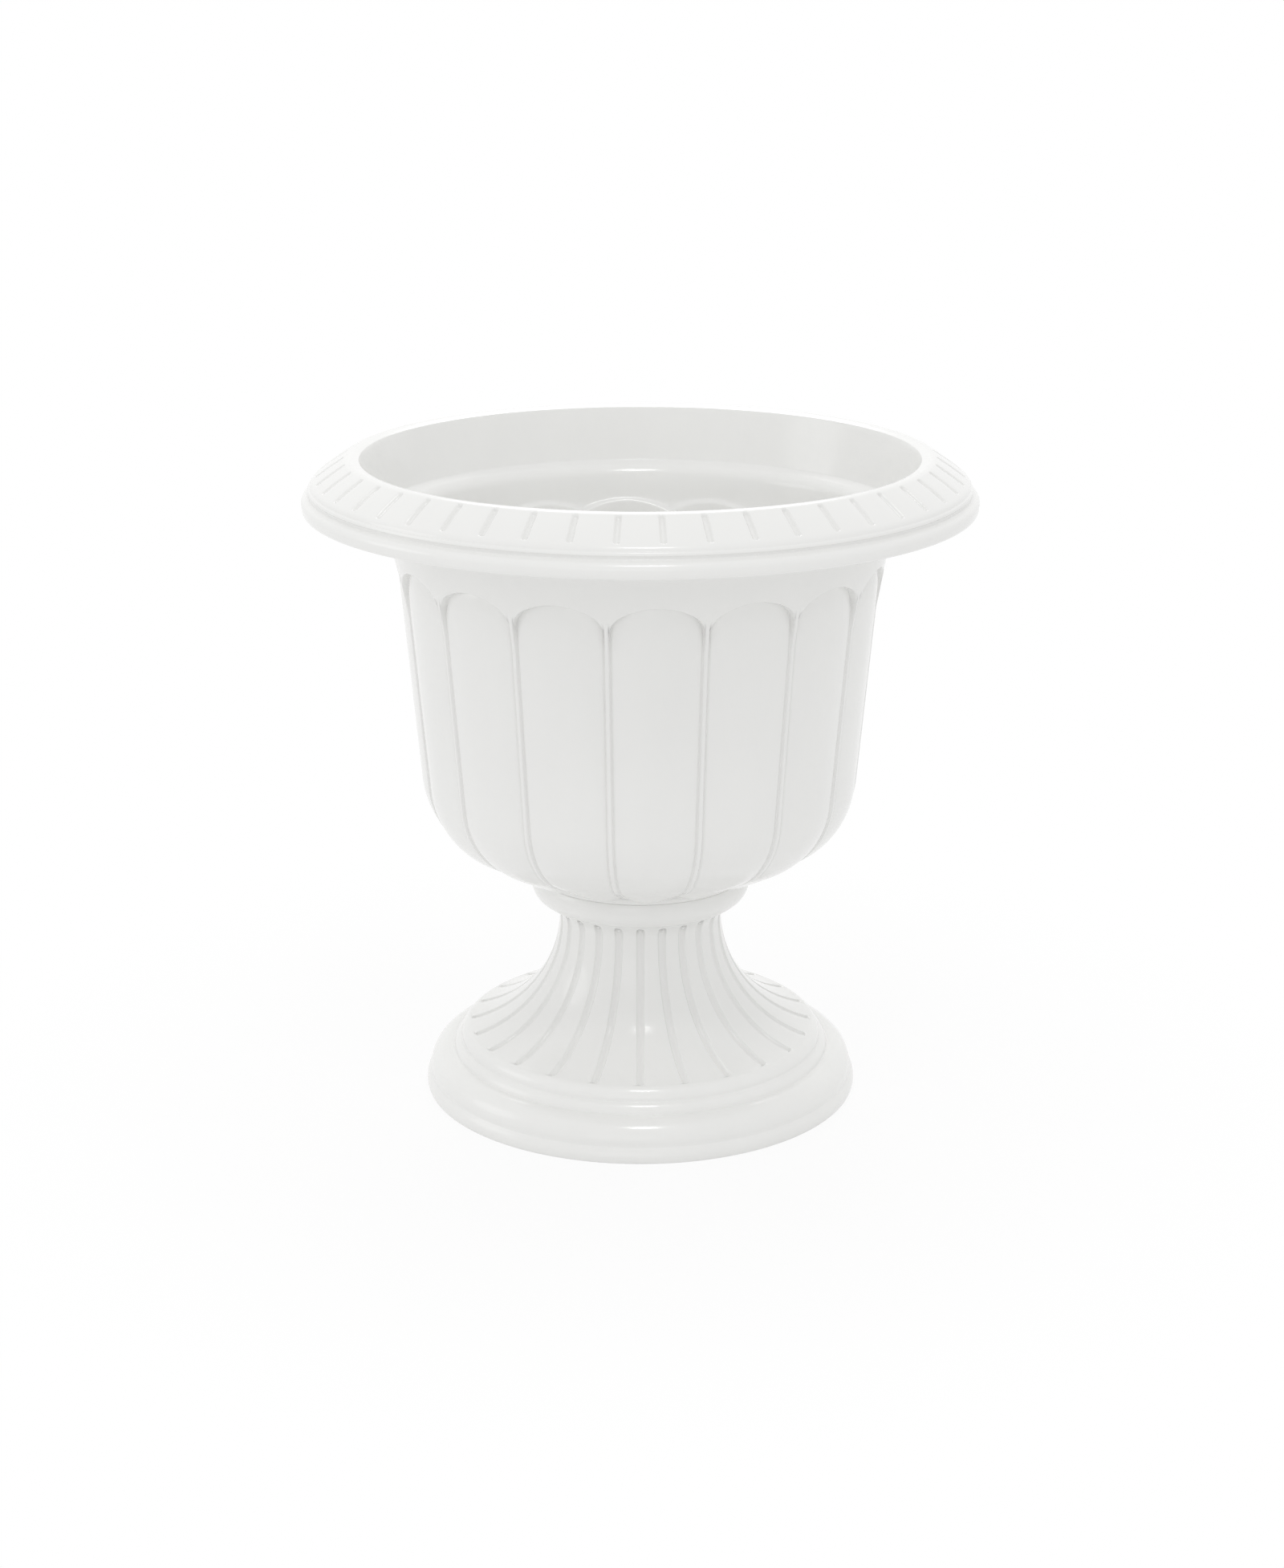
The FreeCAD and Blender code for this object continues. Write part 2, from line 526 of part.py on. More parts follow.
# Reeding: round-bottomed grooves from under the cushion to short of the foot.
STAND_OFF = "(groove_round - groove_depth)"
GROOVE_TOP = "(seat_height - groove_drop)"
GROOVE_LEAN = f"acos(({FLARE_AXIS} - {FLARE_END} + groove_margin) / {FLARE_ROUND})"
groove_path = sketch_on(pedestal, "XZ_Plane", "groove_path")
draw(groove_path, [
    (f"neck_radius + {STAND_OFF}", GROOVE_TOP),
    (f"neck_radius + {STAND_OFF}", FLARE_TOP),
    (f"{FLARE_AXIS} - ({FLARE_ROUND} - {STAND_OFF}) * cos({GROOVE_LEAN})",
     f"{FLARE_TOP} - ({FLARE_ROUND} - {STAND_OFF}) * sin({GROOVE_LEAN})",
     f"{FLARE_ROUND} - {STAND_OFF}", "hollow"),
], closed=False)
groove_outline = sketch_on(pedestal, "XY_Plane", "groove_outline", offset=("0", "0", GROOVE_TOP))
ring(groove_outline, "groove_round", across=f"neck_radius + {STAND_OFF}")
groove = feature(pedestal, "SubtractivePipe", "groove", groove_outline, Spine=(groove_path, []))
around(pedestal, "grooves", groove, "groove_count")

# Twist lock: the deck has an entry slot beside each locked lug. One stop ends the lug's way past
# the locked place, and another, at the slot's far edge, keeps it from turning the wrong way.
slot_outline = sketch_on(pedestal, "XY_Plane", "slot_outline", offset=("0", "0", "seat_height"))
SLOT_MIDDLE = "(bowl_turn + twist)"
draw(slot_outline, sector(f"({DECK_HOLE} - wall)", "(spigot_radius + lug_reach + slot_reach)", SLOT_MIDDLE,
                          "lug_angle + 2 * slot_clearance"))
slot = feature(pedestal, "Pocket", "slot", slot_outline, Length="deck")
around(pedestal, "slots", slot, "lug_count")
stop_outline = sketch_on(pedestal, "XY_Plane", "stop_outline", offset=("0", "0", DECK_UNDER))
LOCK_STOP = "(bowl_turn - lug_angle / 2 - stop_gap - stop_angle / 2)"
ENTRY_STOP = f"({SLOT_MIDDLE} + lug_angle / 2 + slot_clearance + stop_angle / 2)"
for middle in (LOCK_STOP, ENTRY_STOP):
    draw(stop_outline, sector(f"({DECK_HOLE} + spigot_clearance)", "(spigot_radius + lug_reach)",
                              middle, "stop_angle"))
stop = feature(pedestal, "Pad", "stop", stop_outline, Length="stop_height", Reversed=True)
around(pedestal, "stops", stop, "lug_count")

# Drain plug: a hollow tapered shank with a flat head, and a round-topped tab to pull it by.
drain_plug = doc.addObject("PartDesign::Body", "drain_plug")
drain_plug.Label = "drain_plug"
SHANK = "(drain_radius - plug_clearance)"
HEAD = "(drain_radius + plug_rim)"
plug_section = sketch_on(drain_plug, "XZ_Plane", "plug_section")
draw(plug_section, [
    ("0", "plug_head"),
    (f"{HEAD} - plug_head / 2", "plug_head"),
    (HEAD, "plug_head / 2"),
    (HEAD, "0"),
    (SHANK, "0"),
    (f"{SHANK} - plug_taper", "0 - plug_length"),
    (f"{SHANK} - plug_wall", "0 - plug_length"),
    (f"{SHANK} - plug_wall", "0"),
    ("0", "0"),
])
feature(drain_plug, "Revolution", "plug_blank", plug_section,
        ReferenceAxis=(plug_section, ["V_Axis"]), Angle="360")
tab_outline = sketch_on(drain_plug, "XZ_Plane", "tab_outline")
TAB_ARCH = "(plug_head + tab_height - tab_width / 2)"
draw(tab_outline, [
    ("0 - tab_width / 2", "plug_head / 2"),
    ("0 - tab_width / 2", TAB_ARCH),
    ("0", "plug_head + tab_height", "tab_width / 2"),
    ("tab_width / 2", TAB_ARCH, "tab_width / 2"),
    ("tab_width / 2", "plug_head / 2"),
])
feature(drain_plug, "Pad", "tab", tab_outline, Length="tab_thickness", Midplane=True)
drain_plug.Placement = Placement(Vector(0, 0, value("seat_height + floor")), Rotation())
set_size(drain_plug, "Placement.Base.z", "seat_height + floor")

doc.recompute()
for item in doc.Objects:
    if "Invalid" in item.State or "Error" in item.State:
        raise RuntimeError(f"{item.Name} did not build: {item.State}")
for piece in (bowl, pedestal, drain_plug):
    if piece.Shape.isNull() or not piece.Shape.isValid() or len(piece.Shape.Solids) != 1:
        raise RuntimeError(f"{piece.Label} is not one valid solid")
os.makedirs("parts", exist_ok=True)
for piece in (bowl, pedestal, drain_plug):
    piece.Shape.exportStep(f"parts/{piece.Label}.step")
    print(piece.Label, round(piece.Shape.Volume), "mm3", piece.Shape.BoundBox)
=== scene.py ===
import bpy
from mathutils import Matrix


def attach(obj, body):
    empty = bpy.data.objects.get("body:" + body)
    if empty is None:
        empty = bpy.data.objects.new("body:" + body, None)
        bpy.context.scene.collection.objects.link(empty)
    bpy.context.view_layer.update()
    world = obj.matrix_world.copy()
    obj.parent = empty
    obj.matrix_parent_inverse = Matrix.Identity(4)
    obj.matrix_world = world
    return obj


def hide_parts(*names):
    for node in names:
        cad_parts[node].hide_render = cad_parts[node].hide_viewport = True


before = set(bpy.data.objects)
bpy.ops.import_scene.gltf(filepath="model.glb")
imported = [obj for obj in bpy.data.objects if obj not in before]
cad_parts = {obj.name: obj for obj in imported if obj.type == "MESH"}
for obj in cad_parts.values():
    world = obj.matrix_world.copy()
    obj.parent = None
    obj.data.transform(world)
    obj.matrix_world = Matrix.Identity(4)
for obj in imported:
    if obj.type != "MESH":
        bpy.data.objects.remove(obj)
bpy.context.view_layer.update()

import math

import bpy
import numpy as np


# Bowl: one thin-walled moulding in off-white plastic with a soft gloss. The notched rim, the collar
# with its arches, the sixteen flutes, the ribs in their creases and the spigot under the seat come
# out of one mould. It rests on the pedestal's top and is locked to it by a twist.
SEAT = 139.0
FLUTES = 16
CREASE = 180 / FLUTES
BOWL_TURN = 3.75
FLUTE_AXIS = 70.0
VALLEY_DEPTH = 4.5
RIB_SINK = 1.2
WALL = 3.0
DRAFT = math.radians(5)
UNDER = math.radians(27.5)
BELLY_ROUND = 56.5
WALL_TOP = (148.15, 216.5)
TOE_START = (83.6, 7.6)
TOES_END = 65.9
FLOOR_EDGE = 63.6


def trace(points, step=0.2):
    """Close points along a section of (radius, height). A third entry makes the run that ends there
    an arc of that radius, which bulges to the left of the way, or to the right where negative."""
    line = [np.array(points[0][:2], float)]
    for before, after in zip(points, points[1:]):
        start, end = np.array(before[:2], float), np.array(after[:2], float)
        chord = np.hypot(*(end - start))
        shares = np.linspace(0, 1, max(2, math.ceil(chord / step)) + 1)[1:]
        if len(after) == 2:
            line.extend(start + (end - start) * share for share in shares)
            continue
        radius, side = abs(after[2]), math.copysign(1, after[2])
        left = np.array([start[1] - end[1], end[0] - start[0]]) / chord
        half = math.asin(chord / 2 / radius)
        centre = (start + end) / 2 - side * left * radius * math.cos(half)
        first = math.atan2(start[1] - centre[1], start[0] - centre[0])
        for share in shares:
            angle = first - side * 2 * half * share
            line.append(centre + radius * np.array([math.cos(angle), math.sin(angle)]))
    return np.array(line)


def lengths(path):
    return np.concatenate([[0], np.cumsum(np.hypot(*np.diff(path, axis=0).T))])


def soften(path, radius, step=0.1):
    """The path with its corners rounded as a mould's edges are, and both ends held."""
    along = lengths(path)
    even = np.arange(0, along[-1], step)
    smooth = np.stack([np.interp(even, along, path[:, axis]) for axis in (0, 1)], axis=1)
    reach = int(4 * radius / step)
    weights = np.exp(-0.5 * (np.arange(-reach, reach + 1) * step / radius) ** 2)
    weights /= weights.sum()
    before = 2 * smooth[0] - smooth[reach:0:-1]
    after = 2 * smooth[-1] - smooth[-2:-reach - 2:-1]
    padded = np.concatenate([before, smooth, after])
    return np.stack([np.convolve(padded[:, axis], weights, "valid") for axis in (0, 1)], axis=1)


def normals(path):
    ahead = np.gradient(path, axis=0)
    ahead /= np.hypot(*ahead.T)[:, None]
    return np.stack([-ahead[:, 1], ahead[:, 0]], axis=1)


def nearest(path, point):
    return int(np.argmin(np.hypot(*(path - point).T)))


def rows_along(path, spacing, turn):
    """Indices of the path's points that become rows: one for each spacing in millimetres, and more
    where the path bends, one for each turn in degrees."""
    facing = normals(path)
    bend = np.degrees(np.arcsin(np.clip(np.hypot(*np.diff(facing, axis=0).T), 0, 1)))
    weight = np.concatenate([[0], np.cumsum(np.diff(lengths(path)) / spacing + bend / turn)])
    wanted = np.linspace(0, weight[-1], math.ceil(weight[-1]) + 1)
    return np.unique(np.searchsorted(weight, wanted).clip(0, len(path) - 1))


def plain_rows(path, angles, spacing, turn):
    """Rows of a turned surface, without the path's last point, which starts what follows."""
    return [(angles, np.full(len(angles), path[index][0]), np.full(len(angles), path[index][1]))
            for index in rows_along(path, spacing, turn)[:-1]]


def smoothstep(value):
    value = np.clip(value, 0, 1)
    return value * value * (3 - 2 * value)


def soft_max(first, second, width):
    return np.maximum(first, second) + np.maximum(width - np.abs(first - second), 0) ** 2 / width / 4


def knit(name, rows):
    """A mesh of one sector. Rows of (angles, radii, heights) follow a closed section clockwise, and
    where neighbouring rows have other columns, triangles join them."""
    points, firsts, faces = [], [], []
    for angles, radii, heights in rows:
        firsts.append(len(points))
        turned = np.radians(angles)
        points.extend(zip(radii * np.cos(turned) / 1000, radii * np.sin(turned) / 1000, heights / 1000))
    for index, (upper, _, _) in enumerate(rows):
        follower = (index + 1) % len(rows)
        lower = rows[follower][0]
        high, low = firsts[index], firsts[follower]
        if len(upper) == len(lower):
            faces.extend((high + at, low + at, low + at + 1, high + at + 1) for at in range(len(upper) - 1))
            continue
        above = below = 0
        while above < len(upper) - 1 or below < len(lower) - 1:
            if below == len(lower) - 1 or (above < len(upper) - 1 and upper[above + 1] <= lower[below + 1]):
                faces.append((high + above, low + below, high + above + 1))
                above += 1
            else:
                faces.append((high + above, low + below, low + below + 1))
                below += 1
    mesh = bpy.data.meshes.new(name)
    mesh.from_pydata(points, [], faces)
    return mesh


def wall_line(depth, end=None):
    """The wall line from the collar down, that far inside the flutes' crests. It ends straight at
    the radius given, or else, as a flute's own outline does, in a curve down to the flute's axis."""
    wall = WALL_TOP[0] * math.cos(DRAFT) - WALL_TOP[1] * math.sin(DRAFT) - BELLY_ROUND
    under = TOE_START[0] * math.sin(UNDER) - TOE_START[1] * math.cos(UNDER) - BELLY_ROUND
    across = (wall * math.cos(UNDER) - under * math.sin(DRAFT)) / math.cos(DRAFT + UNDER)
    up = (wall * math.sin(UNDER) - under * math.cos(DRAFT)) / math.cos(DRAFT + UNDER)
    radius = BELLY_ROUND - depth
    toe = (TOE_START[0] - depth * math.sin(UNDER), TOE_START[1] + depth * math.cos(UNDER))
    line = [
        (WALL_TOP[0] - depth / math.cos(DRAFT), WALL_TOP[1]),
        (across + radius * math.cos(DRAFT), up - radius * math.sin(DRAFT)),
        (across + radius * math.sin(UNDER), up - radius * math.cos(UNDER), radius),
        toe,
    ]
    if end is None:
        toe_round = (TOE_START[0] - FLUTE_AXIS) / math.sin(UNDER)
        floor = TOE_START[1] - toe_round * (1 - math.cos(UNDER)) + depth
        line.append((FLUTE_AXIS, floor, toe_round - depth))
    else:
        line.append((end, toe[1] - (toe[0] - end) * math.tan(UNDER)))
    return line


def wall_below(valley, height):
    """The rest of the valley's line from that height on its straight part."""
    radius = valley[0][0] - (WALL_TOP[1] - height) * math.tan(DRAFT)
    return valley[nearest(valley, (radius, height)):]


def wall_grid(valley, heights, lower_line, picked):
    """Points on the valley's line and which way they face, for each row and column of a flute: at
    the heights given on the straight part, and then at points picked from the rest."""
    upper = np.stack([valley[0][0] - (WALL_TOP[1] - heights) * math.tan(DRAFT), heights], -1)
    slant = np.broadcast_to([math.cos(DRAFT), -math.sin(DRAFT)], upper.shape)
    columns = heights.shape[1]
    lower = np.repeat(lower_line[picked][:, None], columns, 1)
    lower_facing = np.repeat(normals(lower_line)[picked][:, None], columns, 1)
    return np.concatenate([upper, lower]), np.concatenate([slant, lower_facing])


def arch_heights(arch, top, above, offsets, bottom, below):
    """Heights of a flute's upper rows over each column: shares of the way from the top down to the
    arch's edge, offsets from that edge, and shares of the way from there to the bottom."""
    heights = [top + (arch + offsets[0] - top) * share for share in above]
    heights += [arch + offset for offset in offsets]
    heights += [arch + offsets[-1] + (bottom - offsets[-1] - arch) * share for share in below]
    return np.array(heights)


def flute_rise(line, facing, angles, crest):
    """How far each point of the wall line lies below the flute in front of it. The flute is a
    turned form about its own upright axis, whose outline is the crest, and it is looked for from
    3 mm behind the line to 9 mm before it."""
    steps = np.linspace(-3, 9, 61)
    outline = crest[::-1]
    radius = line[..., 0, None] + facing[..., 0, None] * steps
    height = line[..., 1, None] + facing[..., 1, None] * steps
    turned = np.radians(angles)[..., None]
    away = np.hypot(radius * np.cos(turned) - FLUTE_AXIS, radius * np.sin(turned))
    room = np.interp(height, outline[:, 1], outline[:, 0]) - FLUTE_AXIS - away
    inside = room > 0
    last = np.where(inside.any(-1), len(steps) - 1 - np.argmax(inside[..., ::-1], -1), 0)
    last = np.minimum(last, len(steps) - 2)
    here = np.take_along_axis(room, last[..., None], -1)[..., 0]
    there = np.take_along_axis(room, last[..., None] + 1, -1)[..., 0]
    share = np.where(here > 0, here / np.maximum(here - there, 1e-9), 0)
    return steps[last] + np.clip(share, 0, 1) * (steps[1] - steps[0])


def across_flute(radii, widths, knee):
    """Half a flute's columns as distances from the crease and angles from the flute's middle. The
    ones next to the crease keep their distance, and the rest share the flute's width."""
    half = radii * math.sin(math.radians(CREASE))
    full = widths[-1]
    distance = np.where(widths <= knee, widths, knee + (widths - knee) * (half - knee) / (full - knee))
    return distance, np.degrees(np.arcsin(np.clip(distance / radii, 0, 1))) - CREASE


def both_halves(angles, surface):
    """Rows of a whole flute from those between its crease and its middle."""
    rows = []
    for angle, (radius, height) in zip(angles, np.moveaxis(surface, -1, 1)):
        rows.append((np.concatenate([angle, -angle[-2::-1]]), np.concatenate([radius, radius[-2::-1]]),
                     np.concatenate([height, height[-2::-1]])))
    return rows


# The rim: a plain lip, a slope with short notches in it, a shoulder and an open-backed edge bead.
rim = soften(trace([
    (163.0, 246.5),
    (168.0, 263.0),
    (172.4, 264.2),
    (178.3, 262.6, 8.0),
    (196.0, 250.2, 170),
    (197.4, 247.5, 3.4),
    (198.7, 246.6, 1.2),
    (198.9, 245.6),
    (197.9, 244.9),
    (197.9, 243.4),
    (199.6, 242.4),
    (203.0, 238.3, 4.3),
    (202.7, 235.4),
    (201.5, 233.0, 3.0),
    (198.5, 233.0),
    (195.8, 244.6),
    (194.5, 247.2),
    (175.0, 258.5),
    (169.5, 257.0),
    (161.0, 228.5),
    (150.4, 216.5, -15),
    (150.12, 214.5),
]), 0.3)
NOTCHES = (-7.5, 0.0, 7.5)
NOTCH_SPACING = 7.5
NOTCH_LENGTH = 21.0
NOTCH_WIDTH = 4.0
NOTCH_DEPTH = 1.8
NOTCH_ROUND = 1.5
NOTCH_FLANK = 1.6
NOTCH_COLUMNS = (-2.5, -2.1, -1.7, -1.3, -0.8, 0, 0.8, 1.3, 1.7, 2.1, 2.5)
NOTCH_MARGIN = 1.9
NOTCH_END_ROWS = (-1.6, -1.2, -0.8, -0.4, 0, 0.4, 0.8)
NOTCH_RUN_ROWS = (-0.4, -0.25, -0.1, 0.1, 0.25, 0.4)
plain = np.linspace(-CREASE, CREASE, 13)
slope_start, slope_end = nearest(rim, (175.9, 263.9)), nearest(rim, (195.6, 250.6))
slope = rim[slope_start:slope_end + 1]
slope_facing = normals(rim)[slope_start:slope_end + 1]
along = lengths(slope)
notch_middle = along[-1] / 2


def notch_sink(angles, radius, reach):
    """The share of their full depth that the notches have in a row that far down the slope."""
    sunk = np.zeros(len(angles))
    for notch in NOTCHES:
        beyond = np.abs(np.radians(angles - notch) * radius) - NOTCH_WIDTH / 2 + NOTCH_ROUND
        past = abs(reach - notch_middle) - NOTCH_LENGTH / 2 + NOTCH_ROUND
        outside = np.hypot(np.maximum(beyond, 0), max(past, 0))
        edge = outside + np.minimum(np.maximum(beyond, past), 0) - NOTCH_ROUND
        sunk = np.maximum(sunk, smoothstep(0.2 - edge / NOTCH_FLANK))
    return sunk


reaches = [0.0]
for side in (-1, 1):
    reaches.extend(notch_middle + side * NOTCH_LENGTH / 2 + step for step in NOTCH_END_ROWS)
reaches.extend(notch_middle + NOTCH_LENGTH * share for share in NOTCH_RUN_ROWS)
slope_rows = []
for reach in sorted(reaches):
    index = int(np.searchsorted(along, reach))
    radius = slope[index][0]
    angles = [-CREASE]
    for notch in NOTCHES:
        angles.append(notch - NOTCH_MARGIN)
        angles.extend(notch + math.degrees(width / radius) for width in NOTCH_COLUMNS)
        angles.extend((notch + NOTCH_MARGIN, notch + NOTCH_SPACING / 2))
    angles = np.array(angles)
    sunk = notch_sink(angles, radius, reach)
    moved = slope[index] - NOTCH_DEPTH * sunk[:, None] * slope_facing[index]
    slope_rows.append((angles, moved[:, 0], moved[:, 1]))

# The flutes, under their arches. The collar runs down between the arches as a post and goes on as
# the thin rib in each crease, and each flute's top edge is rolled in behind its arch.
ARCH_TOP = 204.5
ARCH_SPRING = 187.0
ARCH_CORNER = 14.0
ARCH_FOOT = 173.0
ARCH_SIDE = 1.3
ARCH_EDGE = 0.8
COLLAR = ((ARCH_FOOT, 143.14), (ARCH_TOP, 148.7), (WALL_TOP[1], 150.4))
FLUTE_HALF = 28.87
ROLL_HEIGHT = 12.5
ROLL_DEPTH = 2.0
RIB_HOLLOW = 0.5
RIB_HOLLOW_AT = 2.0
RIB_HOLLOW_WIDTH = 0.5
UPPER_START = 214.0
UPPER_END = 168.0
TOE_ROWS_START = (90.0, 15.0)
TOE_ROWS_STEP = 11
half_span = FLUTE_HALF - ARCH_SIDE
rise = ARCH_TOP - ARCH_SPRING
crown = (half_span ** 2 + rise ** 2 - 2 * half_span * ARCH_CORNER) / 2 / (rise - ARCH_CORNER)
haunch = FLUTE_HALF - (half_span - ARCH_CORNER) * crown / (crown - ARCH_CORNER)

# Columns from the crease to the flute's middle, as distances at the collar, and the arch's height
# over each. The rows over a flute follow that height and lie closest at the arch's edge.
widths = np.array([0, 0.55, 0.92, 1.14, 1.3, 1.46, 1.7, 1.95, 2.25, 2.65, 3.3, 4.6, 6.5, 9.1, 12.3,
                   16, 20.2, 24.5, FLUTE_HALF])
corner = ARCH_SPRING + np.sqrt(np.maximum(ARCH_CORNER ** 2 - (ARCH_SIDE + ARCH_CORNER - widths) ** 2, 0))
over = ARCH_TOP - crown + np.sqrt(crown ** 2 - (FLUTE_HALF - widths) ** 2)
arch = np.where(widths < haunch, corner, over)
heights = arch_heights(arch, UPPER_START, (0, 0.2, 0.4, 0.6, 0.8),
                       (1.0, 0.6, 0.35, 0.12, -0.12, -0.35, -0.6, -1.0),
                       UPPER_END, (0.05, 0.12, 0.2, 0.3, 0.42, 0.56, 0.72, 0.88))

valley_points = wall_line(VALLEY_DEPTH, TOES_END)
valley = trace(valley_points, 0.1)
crest = trace(wall_line(0.0), 0.05)
lower_line = wall_below(valley, UPPER_END)
picked = rows_along(lower_line, 9, 4.5)
toes = np.arange(nearest(lower_line, TOE_ROWS_START), len(lower_line), TOE_ROWS_STEP)
picked = np.unique(np.concatenate([picked[picked < toes[0]], toes]))[:-1]
line, facing = wall_grid(valley, heights, lower_line, picked)
level = line[..., 1]
distance, angles = across_flute(line[..., 0], widths, 3.0)

# How far three surfaces stand out from the valley's line: the flute, whose top edge is rolled in,
# the post between two arches, and the rib, which sinks into the valley between the toes. A small
# hollow runs beside each rib.
rolled = ROLL_DEPTH * np.clip(1 - (arch - level) / ROLL_HEIGHT, 0, 1) ** 2
flute = soft_max(flute_rise(line, facing, angles, crest) - rolled, 0, 0.9)
post = (np.interp(level, *zip(*COLLAR)) - line[..., 0]) / math.cos(DRAFT)
post = np.where(level > ARCH_FOOT, post, VALLEY_DEPTH - RIB_SINK)
fade_start, fade_end = [lengths(valley)[nearest(valley, point[:2])] for point in valley_points[2:4]]
reach = lengths(valley)[nearest(valley, lower_line[0]):][picked]
rib = (VALLEY_DEPTH - RIB_SINK) * np.clip((fade_end - reach) / (fade_end - fade_start), 0, 1)
post[len(heights):] = np.minimum(post[len(heights):], rib[:, None])
from_corner = ARCH_CORNER - np.hypot(distance - ARCH_SIDE - ARCH_CORNER, level - ARCH_SPRING)
from_crown = crown - np.hypot(FLUTE_HALF - distance, level - ARCH_TOP + crown)
within = np.where(widths < haunch, from_corner, from_crown)
within = np.where(level < ARCH_SPRING, distance - ARCH_SIDE, within)
front = post + (flute - post) * smoothstep(0.5 + within / ARCH_EDGE)
hollow = RIB_HOLLOW * np.exp(-((distance - RIB_HOLLOW_AT) / RIB_HOLLOW_WIDTH) ** 2)
front -= hollow * smoothstep((ARCH_SPRING + 4 - level) / 8)
flute_rows = both_halves(angles, line + facing * front[..., None])

# Under the flutes: a small bead, the flat seat, the spigot, the drain hole and the flat floor.
inner_points = wall_line(VALLEY_DEPTH + WALL, FLOOR_EDGE)
base = soften(trace([
    valley_points[-1],
    (66.6, 0.0, 3.4),
    (45.0, 0.0),
    (45.0, -16.0),
    (42.0, -16.0),
    (42.0, 0.0),
    (9.0, 0.0),
    (9.0, 3.5),
    (FLOOR_EDGE, 3.5),
    inner_points[-1],
]), 0.25)

# Inside: the wall's thickness behind the flutes, the plain back of the collar and a small ledge.
INNER_ARCH_TOP = 207.0
INNER_ARCH_ROUND = 64.4
INNER_ARCH_EDGE = 3.6
INNER_HALF = 28.2
INNER_UPPER_END = 182.0
inner_widths = np.array([0, 1.0, 2.2, 4.5, 8, 12.5, 17.5, 22.8, INNER_HALF])
inner_centre = INNER_ARCH_TOP - INNER_ARCH_ROUND
inner_arch = inner_centre + np.sqrt(INNER_ARCH_ROUND ** 2 - (INNER_HALF - inner_widths) ** 2)
heights = arch_heights(inner_arch, UPPER_START, (0, 0.35, 0.7), (2.2, 1.4, 0.7, 0, -0.7, -1.4, -2.2),
                       INNER_UPPER_END, (0.25, 0.6))
inner_valley = trace(inner_points, 0.1)
inner_crest = trace(wall_line(WALL), 0.05)
lower_line = wall_below(inner_valley, INNER_UPPER_END)
line, facing = wall_grid(inner_valley, heights, lower_line, rows_along(lower_line, 12, 8)[:-1])
level = line[..., 1]
distance, angles = across_flute(line[..., 0], inner_widths, 2.2)
flute = soft_max(flute_rise(line, facing, angles, inner_crest), 0, 1.5)
post = (np.interp(level, *zip(*COLLAR)) - WALL - line[..., 0]) / math.cos(DRAFT)
within = INNER_ARCH_ROUND - np.hypot(INNER_HALF - distance, np.maximum(level - inner_centre, 0))
behind = post + (flute - post) * smoothstep(0.5 + within / INNER_ARCH_EDGE)
inner_rows = both_halves(angles, line + facing * behind[..., None])[::-1]
mouth = soften(trace([
    (147.2, 214.6),
    (148.2, 220.5),
    (153.4, 227.7, 9.8),
    (158.0, 230.0),
    (163.0, 246.5),
]), 0.4)

bowl_rows = plain_rows(rim[:slope_start + 1], plain, 5, 9) + slope_rows
bowl_rows += plain_rows(rim[slope_end:], plain, 8, 13) + flute_rows
bowl_rows += plain_rows(base, plain, 20, 20) + inner_rows + plain_rows(mouth, plain, 6, 11)
bowl_rows = [(angles, radii, heights + SEAT) for angles, radii, heights in bowl_rows]


def ring_of_sectors():
    """Geometry nodes that repeat a sector round the upright axis and weld its neighbours."""
    tree = bpy.data.node_groups.new("ring_of_sectors", "GeometryNodeTree")
    for name, kind in (("Sector", "Geometry"), ("Copies", "Int"), ("First angle", "Float"),
                       ("Weld distance", "Float"), ("Finish", "Material")):
        tree.interface.new_socket(name, in_out="INPUT", socket_type=f"NodeSocket{kind}")
    tree.interface.new_socket("Ring", in_out="OUTPUT", socket_type="NodeSocketGeometry")

    def node(kind, settings, inputs):
        made = tree.nodes.new(kind)
        for name, setting in settings.items():
            setattr(made, name, setting)
        for name, given in inputs.items():
            if isinstance(given, bpy.types.NodeSocket):
                tree.links.new(given, made.inputs[name])
            else:
                made.inputs[name].default_value = given
        return made.outputs[0] if made.outputs else made

    given = tree.nodes.new("NodeGroupInput").outputs
    number = node("GeometryNodeInputIndex", {}, {})
    step = node("ShaderNodeMath", {"operation": "DIVIDE"}, {0: math.tau, 1: given["Copies"]})
    angle = node("ShaderNodeMath", {"operation": "MULTIPLY_ADD"},
                 {0: number, 1: step, 2: given["First angle"]})
    turn = node("ShaderNodeCombineXYZ", {}, {"Z": angle})
    places = node("GeometryNodePoints", {}, {"Count": given["Copies"]})
    rotation = node("FunctionNodeEulerToRotation", {}, {"Euler": turn})
    copies = node("GeometryNodeInstanceOnPoints", {},
                  {"Points": places, "Instance": given["Sector"], "Rotation": rotation})
    solid = node("GeometryNodeRealizeInstances", {}, {"Geometry": copies})
    welded = node("GeometryNodeMergeByDistance", {}, {"Geometry": solid, "Distance": given["Weld distance"]})
    finished = node("GeometryNodeSetMaterial", {}, {"Geometry": welded, "Material": given["Finish"]})
    node("NodeGroupOutput", {}, {"Ring": finished})
    return tree


sector_tree = ring_of_sectors()
WELD = 2e-6


